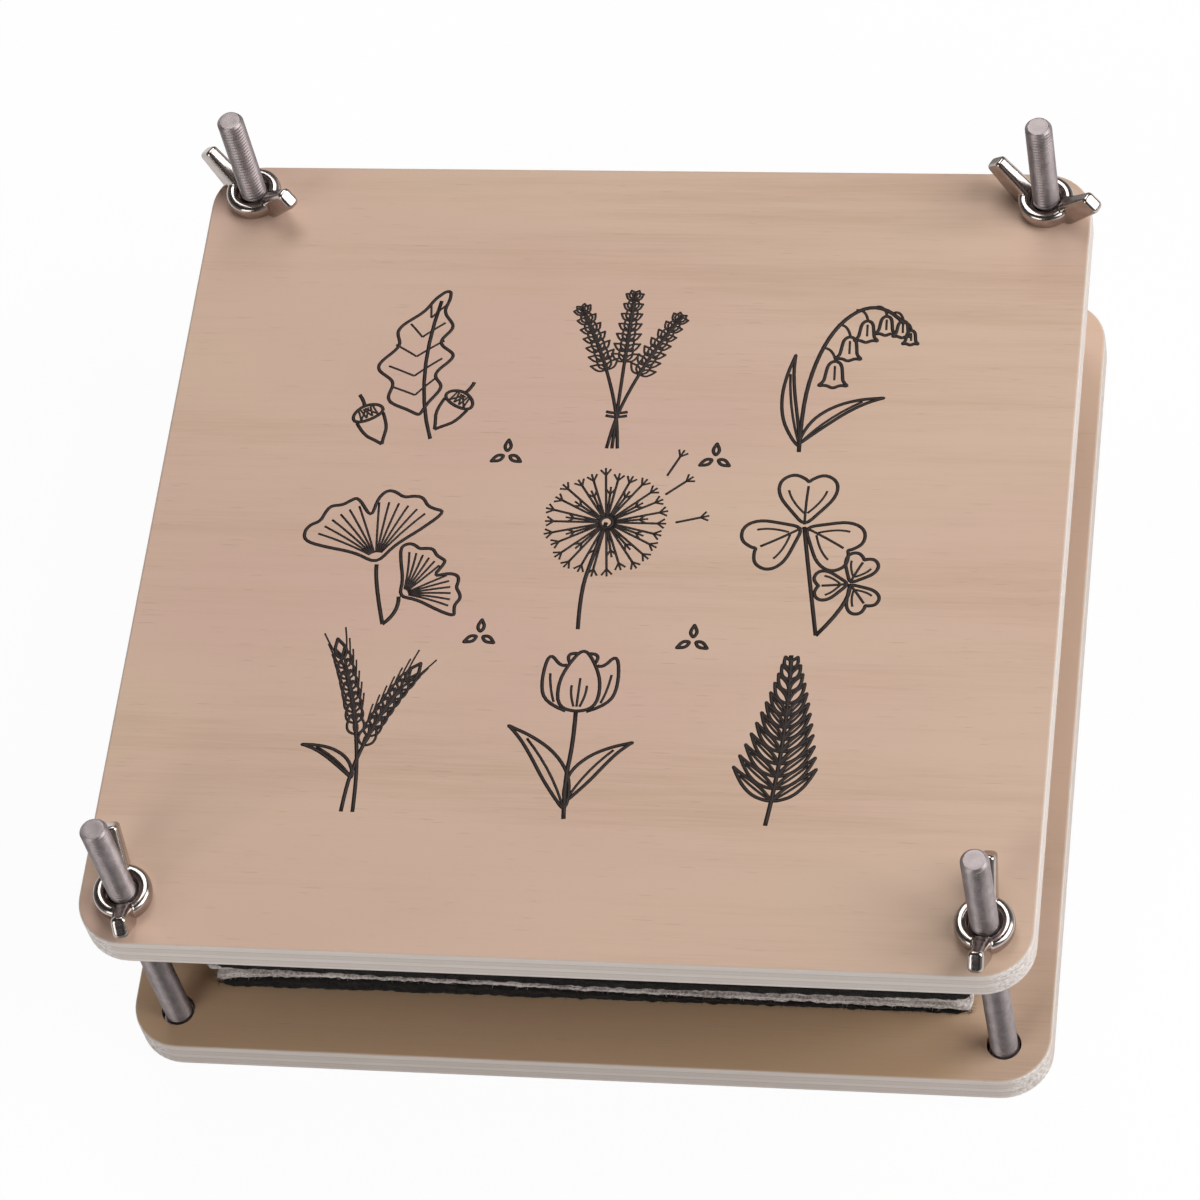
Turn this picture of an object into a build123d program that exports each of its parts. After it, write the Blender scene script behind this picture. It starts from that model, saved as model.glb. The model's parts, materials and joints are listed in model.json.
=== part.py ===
from build123d import *
from math import asin, cos, degrees, radians, sin
import os

# Flower press: two drilled plywood boards on four carriage bolts with wing nuts, and between
# the boards a stack of drying pads with a pair of blotting sheets in every space.
# The origin lies on the underside of the base board, midway between the bolts. +Z is up and
# the front looks towards -Y. Lengths are in millimetres, angles in degrees.

# Boards: one pattern, used as the base and, turned half round, as the top board
BOARD_SIDE = 200.0
BOARD_THICKNESS = 8.0
BOARD_CORNER_RADIUS = 11.0
BOARD_EDGE_ROUND = 0.6
DRILL_OFFSET = 1.0  # how far the drilled pattern lies from the middle of its board
BOLT_INSET = 10.0  # from the middle of a bolt to the nearest edges of a board drilled true
HOLE_CLEARANCE = 0.7  # all round a bolt where it passes through a board

# Bolts: a domed head let into the base, a square neck and a plain shank up to the tip
BOLT_RADIUS = 3.0
BOLT_STAND = 29.3  # from the top board up to the tips of the bolts
TIP_CHAMFER = 0.7
HEAD_OVERHANG = 3.4  # of the head beyond the shank
HEAD_HEIGHT = 3.3
HEAD_RIM = 0.6  # upright edge of the head, below which the dome starts
HEAD_SINK = 0.3  # depth of the dome inside the underside of the base
HEAD_CLEARANCE = 0.4  # all round the head in its recess
NECK_SPARE = 0.3  # by which the square neck is wider than the shank
NECK_COVER = 1.4  # round hole left above the neck
NECK_CLEARANCE = 0.05  # all round the neck in its square seat
NECK_EDGE_ROUND = 0.5

# Wing nuts: a bulging collar that rolls over into a flared mouth, and two squared wings
NUT_CLEARANCE = 0.05  # running clearance on the bolt
COLLAR_BASE_WALL = 2.85
COLLAR_BULGE_WALL = 3.2
COLLAR_CROWN_WALL = 1.75
COLLAR_HEIGHT = 3.8
BULGE_HEIGHT = 1.3
FOOT_LEAN = 27.0  # of the collar's side out from upright, at the foot
CROWN_ROUND = 1.1
CROWN_TURN = 75.0  # how far the crown rolls over before the mouth runs straight
MOUTH_DEPTH = 1.3
WING_REACH = 12.5  # from the bolt's axis to the middle of a wing's end
WING_LIFT = 9.3  # of the middle of a wing's end above the board
WING_ROOT_LIFT = 0.75  # of the middle of a wing's root above the board
WING_ROOT_WIDTH = 5.8
WING_TIP_WIDTH = 4.6
WING_ROOT_THICKNESS = 4.2
WING_TIP_THICKNESS = 3.3
WING_EDGE_ROUND = 1.2
WING_END_ROUND = 0.9

# Stack: pads with two sheets in each space between them
PAD_COUNT = 7
PAD_THICKNESS = 3.8
PAD_EDGE_ROUND = 0.8
SHEET_THICKNESS = 1.0
FLOWER_SPACE = 0.9  # between the two sheets of a pair, where the flowers lie
STACK_CLEARANCE = 4.5  # from the sides of the stack to the bolts
STACK_CORNER_RADIUS = 2.0

# One overrun serves all cuts
CUT_OVERRUN = 1.0

# Which way each bolt lies from the middle, as shares of half the bolt spacing
CORNER_SHARES = {
    "front_left": (-1, -1),
    "front_right": (1, -1),
    "back_right": (1, 1),
    "back_left": (-1, 1),
}
# The turn of each nut's wings from +X as the press stands
WING_ANGLES = {
    "front_left": -76.0,
    "front_right": -92.0,
    "back_right": -26.0,
    "back_left": -32.0,
}

bolt_spacing = BOARD_SIDE - 2 * BOLT_INSET
space_count = PAD_COUNT - 1
pad_pitch = PAD_THICKNESS + 2 * SHEET_THICKNESS + FLOWER_SPACE
stack_height = space_count * pad_pitch + PAD_THICKNESS
stack_side = bolt_spacing - 2 * (BOLT_RADIUS + STACK_CLEARANCE)
top_board_bottom = BOARD_THICKNESS + stack_height
nut_seat = top_board_bottom + BOARD_THICKNESS
bolt_tip = nut_seat + BOLT_STAND

hole_radius = BOLT_RADIUS + HOLE_CLEARANCE
head_radius = BOLT_RADIUS + HEAD_OVERHANG
head_top = HEAD_SINK + HEAD_HEIGHT
neck_side = 2 * BOLT_RADIUS + NECK_SPARE
neck_height = BOARD_THICKNESS - head_top - NECK_COVER
bore_radius = BOLT_RADIUS + NUT_CLEARANCE

STANDING = (Align.CENTER, Align.CENTER, Align.MIN)


def corner_places():
    """Each corner's name with the place of its bolt."""
    half = bolt_spacing / 2
    for name, (x_share, y_share) in CORNER_SHARES.items():
        yield name, x_share * half, y_share * half


def board(bottom, middle_y):
    """A square of plywood with round corners and eased arrises, before drilling."""
    outline = RectangleRounded(BOARD_SIDE, BOARD_SIDE, BOARD_CORNER_RADIUS)
    blank = extrude(Pos(0, middle_y, bottom) * outline, BOARD_THICKNESS)
    flat_faces = blank.faces().filter_by(Axis.Z)
    return fillet(flat_faces.edges(), BOARD_EDGE_ROUND)


def bolt_hole(x, y, bottom):
    """Round clearance hole right through a board."""
    depth = BOARD_THICKNESS + 2 * CUT_OVERRUN
    return Pos(x, y, bottom - CUT_OVERRUN) * Cylinder(hole_radius, depth, align=STANDING)


def base_board():
    """The base, with a recess and a square seat for each bolt's head and neck."""
    base = board(0, DRILL_OFFSET)
    recess = Cylinder(head_radius + HEAD_CLEARANCE, head_top + CUT_OVERRUN, align=STANDING)
    seat_side = neck_side + 2 * NECK_CLEARANCE
    seat = Box(seat_side, seat_side, neck_height, align=STANDING)
    for _, x, y in corner_places():
        base -= bolt_hole(x, y, 0)
        base -= Pos(x, y, -CUT_OVERRUN) * recess
        base -= Pos(x, y, head_top) * seat
    return base


def top_board():
    """The board that the nuts press down."""
    top = board(top_board_bottom, -DRILL_OFFSET)
    for _, x, y in corner_places():
        top -= bolt_hole(x, y, top_board_bottom)
    return top


def carriage_bolt(x, y):
    """A bolt turned from its domed head to its chamfered tip, with a square neck."""
    dome_height = HEAD_HEIGHT - HEAD_RIM
    dome_radius = (head_radius**2 + dome_height**2) / (2 * dome_height)
    dome_angle = degrees(asin(head_radius / dome_radius))
    dome = JernArc((0, HEAD_SINK), (1, 0), dome_radius, dome_angle)
    rest = Polyline(
        dome @ 1,
        (head_radius, head_top),
        (BOLT_RADIUS, head_top),
        (BOLT_RADIUS, bolt_tip - TIP_CHAMFER),
        (BOLT_RADIUS - TIP_CHAMFER, bolt_tip),
        (0, bolt_tip),
        (0, HEAD_SINK),
    )
    turned = revolve(Plane.XZ * make_face([dome, rest]), Axis.Z)
    neck_outline = RectangleRounded(neck_side, neck_side, NECK_EDGE_ROUND)
    neck = extrude(Pos(0, 0, head_top) * neck_outline, neck_height)
    return Pos(x, y, 0) * (turned + neck)


def wing():
    """One wing along +X: a rounded bar that rises from the collar and narrows to a squared end."""
    root = Vector(bore_radius + COLLAR_BASE_WALL / 2, 0, WING_ROOT_LIFT)
    tip = Vector(WING_REACH, 0, WING_LIFT)
    along = (tip - root).normalized()
    root_section = RectangleRounded(WING_ROOT_THICKNESS, WING_ROOT_WIDTH, WING_EDGE_ROUND)
    tip_section = RectangleRounded(WING_TIP_THICKNESS, WING_TIP_WIDTH, WING_EDGE_ROUND)
    bar = loft(
        [
            Plane(root, x_dir=(0, 1, 0), z_dir=along) * root_section,
            Plane(tip, x_dir=(0, 1, 0), z_dir=along) * tip_section,
        ]
    )
    end_face = bar.faces().sort_by(Axis.Z)[-1]
    return fillet(end_face.edges(), WING_END_ROUND)


def collar():
    """The round body of a nut: it swells from its foot and rolls over at the crown."""
    foot = (bore_radius + COLLAR_BASE_WALL, 0)
    bulge = (bore_radius + COLLAR_BULGE_WALL, BULGE_HEIGHT)
    top = (bore_radius + COLLAR_CROWN_WALL, COLLAR_HEIGHT)
    lean = radians(FOOT_LEAN)
    side = Spline(foot, bulge, top, tangents=((sin(lean), cos(lean)), (-1, 0)))
    crown = JernArc(top, (-1, 0), CROWN_ROUND, CROWN_TURN)
    rim = crown @ 1
    inside = Polyline(rim, (0, rim.Y), (0, 0), foot)
    return revolve(Plane.XZ * make_face([side, crown, inside]), Axis.Z)


def throat():
    """The space for the bolt: the bore, the flare of the mouth and the room above it."""
    turn = radians(CROWN_TURN)
    rim_radius = bore_radius + COLLAR_CROWN_WALL - CROWN_ROUND * sin(turn)
    rim_height = COLLAR_HEIGHT - CROWN_ROUND * (1 - cos(turn))
    foot = -CUT_OVERRUN
    top = WING_LIFT + WING_TIP_WIDTH + CUT_OVERRUN
    outline = Polyline(
        (0, foot),
        (bore_radius, foot),
        (bore_radius, COLLAR_HEIGHT - MOUTH_DEPTH),
        (rim_radius, rim_height),
        (rim_radius, top),
        (0, top),
        close=True,
    )
    return revolve(Plane.XZ * make_face(outline), Axis.Z)


def wing_nut():
    """A nut on the origin, with its wings along X."""
    one_wing = wing()
    nut = collar() + one_wing + Rot(0, 0, 180) * one_wing
    return split(nut, bisect_by=Plane.XY, keep=Keep.TOP) - throat()


def layer(bottom, thickness):
    """A square layer of the stack with small round corners."""
    outline = RectangleRounded(stack_side, stack_side, STACK_CORNER_RADIUS)
    return extrude(Pos(0, 0, bottom) * outline, thickness)


def pad(bottom):
    """A drying pad with soft arrises."""
    slab = layer(bottom, PAD_THICKNESS)
    flat_faces = slab.faces().filter_by(Axis.Z)
    return fillet(flat_faces.edges(), PAD_EDGE_ROUND)


def stack():
    """The pads and sheets from the base upwards, by name."""
    pieces = {}
    for space in range(PAD_COUNT):
        bottom = BOARD_THICKNESS + space * pad_pitch
        pieces[f"drying_pad_{space + 1}"] = pad(bottom)
        if space == space_count:
            break
        lower = bottom + PAD_THICKNESS
        upper = lower + SHEET_THICKNESS + FLOWER_SPACE
        pieces[f"lower_blotting_sheet_{space + 1}"] = layer(lower, SHEET_THICKNESS)
        pieces[f"upper_blotting_sheet_{space + 1}"] = layer(upper, SHEET_THICKNESS)
    return pieces


pieces = {"base_board": base_board(), "top_board": top_board(), **stack()}
nut_shape = wing_nut()
for corner, x, y in corner_places():
    pieces[f"bolt_{corner}"] = carriage_bolt(x, y)
    pieces[f"wing_nut_{corner}"] = Pos(x, y, nut_seat) * Rot(0, 0, WING_ANGLES[corner]) * nut_shape

os.makedirs("parts", exist_ok=True)
for name, shape in pieces.items():
    export_step(shape, f"parts/{name}.step")
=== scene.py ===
"""Looks of a flower press: plywood boards, threaded bolts, cast wing nuts, felt pads,
blotting sheets and a printed top. Lengths are in metres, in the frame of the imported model."""

import json
import random
from math import atan2, cos, degrees, pi, radians, sin, tau

import bmesh
import bpy
from bpy.props import FloatProperty, FloatVectorProperty, IntProperty, PointerProperty
from bpy.types import Operator, Panel, PropertyGroup
from mathutils import Color, Matrix, Vector, noise
from numpy import interp

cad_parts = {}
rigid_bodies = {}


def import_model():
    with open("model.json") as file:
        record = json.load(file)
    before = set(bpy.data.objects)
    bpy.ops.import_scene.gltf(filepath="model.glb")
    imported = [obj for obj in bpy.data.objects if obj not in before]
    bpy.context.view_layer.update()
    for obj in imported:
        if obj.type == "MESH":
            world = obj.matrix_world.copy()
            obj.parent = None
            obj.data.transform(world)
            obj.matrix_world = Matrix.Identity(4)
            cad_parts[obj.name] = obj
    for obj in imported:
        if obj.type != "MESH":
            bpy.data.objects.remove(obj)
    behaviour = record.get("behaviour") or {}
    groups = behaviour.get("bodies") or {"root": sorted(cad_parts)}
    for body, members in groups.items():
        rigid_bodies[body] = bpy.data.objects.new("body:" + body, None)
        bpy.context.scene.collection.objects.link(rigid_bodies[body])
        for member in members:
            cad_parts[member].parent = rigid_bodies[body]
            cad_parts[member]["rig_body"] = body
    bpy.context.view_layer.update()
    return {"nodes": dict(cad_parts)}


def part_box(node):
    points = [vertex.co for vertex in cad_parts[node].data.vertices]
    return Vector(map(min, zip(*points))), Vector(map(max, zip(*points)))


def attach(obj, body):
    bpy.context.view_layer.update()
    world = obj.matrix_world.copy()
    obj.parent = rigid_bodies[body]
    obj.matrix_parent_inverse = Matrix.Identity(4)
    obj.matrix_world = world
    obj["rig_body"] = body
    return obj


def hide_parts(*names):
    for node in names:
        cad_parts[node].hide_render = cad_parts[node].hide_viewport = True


bl_info = {
    "name": "Flower press looks",
    "version": (1, 0, 0),
    "blender": (4, 5, 0),
    "location": "View3D > Sidebar > Flower press",
    "description": "Finishes the boards, bolts, wing nuts and layers of a flower press",
    "category": "Object",
}

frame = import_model()

MM = 0.001
CORNERS = ("front_left", "front_right", "back_right", "back_left")
BOARD_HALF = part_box("base_board")[1].x
BASE_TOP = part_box("base_board")[1].z
STACK_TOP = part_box("top_board")[0].z
PRINT_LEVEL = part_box("top_board")[1].z

# Levels of the even stack above the base: its lowest pad, the two sheets on it and the top board
UPPER_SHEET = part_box("upper_blotting_sheet_1")
EVEN_LEVELS = (
    0,
    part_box("drying_pad_1")[1].z - BASE_TOP,
    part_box("lower_blotting_sheet_1")[1].z - BASE_TOP,
    UPPER_SHEET[0].z - BASE_TOP,
    UPPER_SHEET[1].z - BASE_TOP,
    STACK_TOP - BASE_TOP,
)

# How those layers have settled
SETTLE_REACH = 80 * MM  # from the middle to where the taper and the rise are given
PAD_MIDDLE = 3.7 * MM  # thickness of the lowest pad at its middle
PAD_TAPER = 2.6 * MM  # by which it is thinner at the right and thicker at the left
PAD_DROOP = 3.8 * MM  # by which its left end sags
DROOP_START = 0.6  # share of the reach at which the sag starts
SHEETS_TOP = 5.8 * MM  # level of the two sheets from the middle to the right
SHEETS_RISE = 3.2 * MM  # by which that level is higher at the left
SPACE_SHARE = 0.31  # of the sheets' room, left open between them
SPACE_LEAST = 0.9 * MM
WAVE = 0.3 * MM  # unevenness of all layers
WAVE_EASE = 3 * MM  # distance from the boards at which the waves are full

# Rims of the layers from below: inset in millimetres, and height as a share of the thickness
PAD_RIM = ((0.5, 0), (0.05, 0.08), (0, 0.3), (0.1, 0.5), (0, 0.7), (0.25, 0.88), (0.9, 1))
SHEET_RIM = ((0.3, 0.05), (0, 0.35), (0.15, 0.6), (0.3, 0.95))
RIM_POINTS = 960

# Bolts: a domed head, a square neck and a shank
HEAD_SINK = 0.3 * MM  # of the dome inside the underside of the base
HEAD_RADIUS = 6.4 * MM
DOME_HEIGHT = 2.7 * MM
HEAD_TOP = 3.6 * MM
HEAD_ROW = 4.2 * MM  # radius of a row on top of the head, between its rim and the neck
NECK_HALF = 3.15 * MM
NECK_TOP = 6.6 * MM
SHANK_RADIUS = 2.98 * MM
POLE_RADIUS = 0.15 * MM  # of the small faces that close the two ends

# Lights of the stage: the setting with its power, the place and the side
LIGHTS = (
    ("key", (1.06, -0.05, 0.95), 1.1),
    ("top", (-0.12, 0.6, 1.05), 0.6),
    ("fill", (-0.6, -0.95, 0.65), 0.7),
)


def tone(red, green, blue):
    """A colour in 0 to 255 steps, as Blender's linear numbers."""
    return tuple(Color((red / 255, green / 255, blue / 255)).from_srgb_to_scene_linear())


def length_prop(name, description, default):
    """A length in metres, given in millimetres."""
    return FloatProperty(
        name=name, description=description, default=default * MM, unit="LENGTH", precision=6
    )


def tone_prop(name, description, *steps):
    """A colour with its default in 0 to 255 steps."""
    return FloatVectorProperty(
        name=name, description=description, default=tone(*steps), subtype="COLOR", min=0, max=1
    )


def share_prop(name, description, default):
    """A number from 0 to 1."""
    return FloatProperty(
        name=name, description=description, default=default, subtype="FACTOR", min=0, max=1
    )


def angle_prop(name, description, default):
    """An angle, given in degrees."""
    return FloatProperty(
        name=name, description=description, default=radians(default), subtype="ANGLE"
    )


class BoardLooks(PropertyGroup):
    """Plywood of the two boards."""

    face: tone_prop("Face", "Pale veneer of the faces", 207, 178, 156)
    streak: tone_prop("Streak", "Darker streaks along the grain", 192, 161, 137)
    blush: tone_prop("Blush", "Pink cast that comes and goes in the veneer", 205, 170, 154)
    # Painted shade: the base's face is browner where the top board casts its shade on it.
    painted_shade_under_top: tone_prop("Covered", "Browner veneer of the base under the top board", 193, 161, 128)
    # Painted light, not bleaching: the base's open strip at the right, towards the back, is paler
    # where light falls on it.
    painted_light_open_side: tone_prop("Bare", "Bleached veneer at the open side of the base", 225, 192, 168)
    edge: tone_prop("Edge", "Long-grained plies at the sawn edges", 228, 217, 209)
    cross_edge: tone_prop("Cross edge", "End-grained plies at the sawn edges", 215, 202, 194)
    glue: tone_prop("Glue line", "Thin lines between the plies", 170, 152, 140)
    frayed: tone_prop("Frayed grain", "Pale torn fibres round the sawn corners", 252, 246, 242)
    ply: length_prop("Ply", "Thickness of one ply", 1.6)


class MetalLooks(PropertyGroup):
    """Zinc of the bolts and nickel of the wing nuts."""

    zinc: tone_prop("Zinc", "Dull plating of the bolts", 167, 156, 156)
    nickel: tone_prop("Nickel", "Bright plating of the wing nuts", 186, 175, 169)
    pitch: length_prop("Thread pitch", "Rise of the thread in one turn", 1.0)
    depth: length_prop("Thread depth", "From the crest of the thread to its root", 0.36)
    soften: length_prop("Softening", "Fineness of the rounding at the cast seams", 0.16)


class StackLooks(PropertyGroup):
    """Felt pads and blotting sheets between the boards."""

    felt: tone_prop("Felt", "Near-black felt of the pads", 25, 23, 22)
    felt_fleck: tone_prop("Felt fleck", "Paler fibres in the felt", 62, 57, 54)
    paper: tone_prop("Paper", "Blotting paper", 240, 233, 229)
    paper_shade: tone_prop("Paper shade", "Grey fibres in the paper", 158, 147, 142)
    rough_edge: length_prop("Rough edge", "How far a layer's edge wanders", 0.36)
    fibre: length_prop("Fibre", "Length of the loose felt fibres", 1.5)
    fibre_count: IntProperty(
        name="Fibre count", description="Loose fibres round one pad", default=1500, min=0
    )
    paper_fibre: length_prop("Paper fibre", "Length of the loose paper fibres", 1.2)
    paper_fibre_count: IntProperty(
        name="Paper fibre count", description="Loose fibres round one sheet", default=1000, min=0
    )


class PrintLooks(PropertyGroup):
    """Line print on the top board."""

    ink: tone_prop("Ink", "Brown-black ink", 42, 33, 30)
    line: length_prop("Line", "Width of the drawn lines", 0.8)
    relief: length_prop("Relief", "Height of the ink above the wood", 0.05)
    spacing: length_prop("Spacing", "Between the middles of neighbouring plants", 46.0)


class StageLooks(PropertyGroup):
    """Camera, lights and floor."""

    azimuth: angle_prop("Azimuth", "Camera's turn to the right of the front", 19.5616)
    elevation: angle_prop("Elevation", "Camera's height above the horizon", 57.1848)
    roll: angle_prop("Roll", "Camera's turn about its own axis", -15.1752)
    distance: length_prop("Distance", "Camera's distance from the top board", 1044.73)
    aside: length_prop("Aside", "Shift of the camera along its own width", 0.327)
    down: length_prop("Down", "Shift of the camera along its own height", -11.618)
    lens: FloatProperty(
        name="Lens", description="Focal length on a 36 mm frame", default=146.024, unit="CAMERA"
    )
    floor: tone_prop("Floor", "White floor", 250, 250, 250)
    floor_glow: share_prop("Floor glow", "How far the floor is lifted to white", 0.95)
    key: FloatProperty(name="Key", description="Light on the right", default=17.2, unit="POWER")
    top: FloatProperty(name="Top", description="Light at the back", default=5.2, unit="POWER")
    fill: FloatProperty(name="Fill", description="Light in front", default=4.8, unit="POWER")
    room: share_prop("Room", "Strength of the room's light", 0.018)
    gleam: share_prop("Gleam", "Strength of the room as seen in metal", 0.14)
    dim: share_prop("Dim", "Brightness of the dark side of the room as seen in metal", 0.32)


class PressLooks(PropertyGroup):
    """All settings of the press."""

    boards: PointerProperty(type=BoardLooks)
    metal: PointerProperty(type=MetalLooks)
    stack: PointerProperty(type=StackLooks)
    print_work: PointerProperty(type=PrintLooks)
    stage: PointerProperty(type=StageLooks)


class Value:
    """A number that varies over a surface. Sums and products of it become Math nodes."""

    def __init__(self, finish, socket):
        self.finish = finish
        self.socket = socket

    def calc(self, operation, first, second=0.0):
        return self.finish.node("ShaderNodeMath", {"operation": operation}, {0: first, 1: second})

    def __add__(self, other):
        return self.calc("ADD", self, other)

    def __sub__(self, other):
        return self.calc("SUBTRACT", self, other)

    def __rsub__(self, other):
        return self.calc("SUBTRACT", other, self)

    def __mul__(self, other):
        return self.calc("MULTIPLY", self, other)

    def __truediv__(self, other):
        return self.calc("DIVIDE", self, other)

    def __mod__(self, other):
        return self.calc("FLOORED_MODULO", self, other)

    def __abs__(self):
        return self.calc("ABSOLUTE", self)

    def floor(self):
        return self.calc("FLOOR", self)

    def ramp(self, low, high):
        """0 below low, 1 above high and smooth between."""
        return self.finish.node(
            "ShaderNodeMapRange",
            {"interpolation_type": "SMOOTHSTEP"},
            {"Value": self, "From Min": low, "From Max": high},
        )

    __radd__ = __add__
    __rmul__ = __mul__


class Finish:
    """A material under construction."""

    def __init__(self, name, constants):
        self.material = bpy.data.materials.new(name)
        self.material.use_nodes = True
        self.tree = self.material.node_tree
        self.shader = self.tree.nodes["Principled BSDF"]
        for socket, value in constants.items():
            self.shader.inputs[socket].default_value = value

    def put(self, socket, value):
        """Links a value to a socket, or sets the socket to a constant."""
        if isinstance(value, Value):
            self.tree.links.new(value.socket, socket)
        elif hasattr(value, "__len__") and len(value) == 3 and len(socket.default_value) == 4:
            socket.default_value = (*value, 1.0)
        else:
            socket.default_value = value

    def node(self, kind, settings=None, inputs=None, output=0):
        """Adds a node with its settings and inputs, and gives one of its outputs."""
        made = self.tree.nodes.new(kind)
        for name, value in (settings or {}).items():
            setattr(made, name, value)
        for name, value in (inputs or {}).items():
            self.put(made.inputs[name], value)
        return Value(self, made.outputs[output])

    def feed(self, **values):
        """Gives varying values to the shader, by socket name."""
        for name, value in values.items():
            self.put(self.shader.inputs[name.replace("_", " ")], value)

    def place(self, scale=(1, 1, 1), shift=(0, 0, 0)):
        """The point on the object, stretched and shifted."""
        point = self.node("ShaderNodeTexCoord", output="Object")
        return self.node(
            "ShaderNodeMapping", None, {"Vector": point, "Scale": scale, "Location": shift}
        )

    def parts(self, vector):
        """The three parts of a vector."""
        split = self.node("ShaderNodeSeparateXYZ", None, {0: vector})
        return [Value(self, out) for out in split.socket.node.outputs]

    def axes(self):
        """The point's three coordinates."""
        return self.parts(self.node("ShaderNodeTexCoord", output="Object"))

    def facing(self):
        """The three parts of the surface's direction."""
        return self.parts(self.node("ShaderNodeNewGeometry", output="Normal"))

    def rays(self):
        """Masks of what the camera sees directly, and of what is seen mirrored in metal."""
        seen = self.node("ShaderNodeLightPath", output="Is Camera Ray")
        return seen, Value(self, seen.socket.node.outputs["Is Glossy Ray"])

    def cloud(self, scale, shift=(0, 0, 0), detail=2.0, rough=0.5):
        """Soft noise from 0 to 1, with its own stretch along each axis."""
        return self.node(
            "ShaderNodeTexNoise",
            None,
            {"Vector": self.place(scale, shift), "Scale": 1.0, "Detail": detail, "Roughness": rough},
        )

    def blend(self, share, low, high):
        """A colour between two."""
        return self.node("ShaderNodeMix", {"data_type": "RGBA"}, {0: share, 6: low, 7: high}, 2)

    def bump(self, height, distance):
        """Fine relief from a value, in metres."""
        relief = self.node("ShaderNodeBump", None, {"Height": height, "Distance": distance})
        self.feed(Normal=relief)


class Room(Finish):
    """The world around the press, worked on like a material. Its axes point from the middle out."""

    def __init__(self, name):
        self.world = bpy.data.worlds.new(name)
        self.world.use_nodes = True
        self.tree = self.world.node_tree
        self.shader = self.tree.nodes["Background"]
        self.put(self.shader.inputs["Color"], (1, 1, 1))

    def axes(self):
        return self.parts(self.node("ShaderNodeTexCoord", output="Generated"))


def plywood(name, looks, bottom, painted_shade_under_top):
    """Veneered faces with straight grain along X, and sawn edges with plies and glue lines that
    are torn at the corners. On the base, painted shade makes the face browner where the top board
    shades it, and painted light makes its open right strip paler towards the back."""
    wood = Finish(name, {"Specular IOR Level": 0.3})
    across, deep, level = wood.axes()
    bands = wood.cloud((5, 46, 46), (bottom * 90, 3, 0), 3)
    streaks = wood.cloud((11, 330, 330), (2, bottom * 40, 0), 4, 0.6)
    fibres = wood.cloud((70, 2100, 2100), (0, 0, 4), 2)
    blush = wood.cloud((9, 17, 17), (7, 1, bottom * 30), 2).ramp(0.35, 0.68)
    pores = wood.cloud((130, 3000, 3000), (5, 0, 0), 1).ramp(0.69, 0.78)
    grain = bands * 0.5 + streaks * 0.34 + fibres * 0.22
    face = wood.blend(blush * 0.8, looks.face, looks.blush)
    face = wood.blend(grain.ramp(0.46, 0.78), face, looks.streak)
    # Painted shade: the base's face is browned away from its right edge, where the top board shades
    # it.
    if painted_shade_under_top:
        inset = BOARD_HALF - across
        shade = inset.ramp(8 * MM, 26 * MM) * (grain * 0.3 + 0.75)
        face = wood.blend(shade, face, looks.painted_shade_under_top)
        # Painted light: the open right strip of the base, towards the back, is made paler where
        # light falls on it.
        painted_light_open_side = (1 - inset.ramp(4 * MM, 16 * MM)) * deep.ramp(-80 * MM, -20 * MM)
        face = wood.blend(painted_light_open_side * 0.9, face, looks.painted_light_open_side)
    face = wood.blend(pores * 0.22, face, looks.glue)
    rise = (level - bottom) / looks.ply
    cross = (rise.floor() % 2.0).ramp(0.4, 0.6)
    wander = wood.cloud((60, 60, 300), (1, 2, 3), 2) * 0.16
    glue = (abs((rise + wander) % 1.0 - 0.5)).ramp(0.41, 0.47)
    sawn = wood.cloud((900, 900, 900), (0, 0, 1), 3, 0.7)
    drawn = wood.cloud((60, 60, 2400), (3, 0, 0), 2)
    edge = wood.blend(cross * (sawn * 0.7 + 0.35), looks.edge, looks.cross_edge)
    edge = wood.blend(drawn.ramp(0.45, 0.8) * 0.45, edge, looks.cross_edge)
    edge = wood.blend(glue * 0.4, edge, looks.glue)
    along, back, up = wood.facing()
    corner = abs(along * back).ramp(0.12, 0.42)
    frayed = wood.cloud((1100, 1100, 1500), (6, 0, 2), 4, 0.75)
    edge = wood.blend(corner * frayed.ramp(0.46, 0.6) * 0.9, edge, looks.frayed)
    edge = wood.blend(corner * (1 - frayed).ramp(0.54, 0.68) * 0.6, edge, looks.glue)
    flat = abs(up).ramp(0.75, 0.95)
    wood.feed(Base_Color=wood.blend(flat, edge, face), Roughness=streaks * 0.16 + 0.52)
    rough = (sawn * 1.4 + corner * frayed * 4) * (1 - flat)
    wood.bump(fibres * 0.5 + pores * -0.7 + rough, 0.05 * MM)
    return wood.material


def zinc(looks):
    """Dull plating with a faint mottle."""
    metal = Finish("bolt_zinc", {"Metallic": 0.88})
    mottle = metal.cloud((420, 420, 260), (0, 0, 0), 4, 0.6)
    rub = metal.cloud((90, 90, 900), (3, 1, 0), 2)
    shade = tuple(0.72 * c for c in looks.zinc)
    metal.feed(
        Base_Color=metal.blend(mottle.ramp(0.3, 0.75), shade, looks.zinc),
        Roughness=mottle * 0.18 + rub * 0.1 + 0.3,
    )
    metal.bump(mottle, 0.012 * MM)
    return metal.material


def nickel(looks):
    """Bright plating over a cast surface."""
    metal = Finish("nut_nickel", {"Metallic": 1.0})
    skin = metal.cloud((500, 500, 500), (1, 1, 1), 2)
    wear = metal.cloud((1300, 1300, 1300), (4, 2, 0), 3, 0.65)
    shade = tuple(0.82 * c for c in looks.nickel)
    metal.feed(
        Base_Color=metal.blend(skin.ramp(0.35, 0.7), shade, looks.nickel),
        Roughness=wear.ramp(0.4, 0.8) * 0.08 + 0.17,
    )
    metal.bump(skin + wear * 0.3, 0.004 * MM)
    return metal.material


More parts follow.
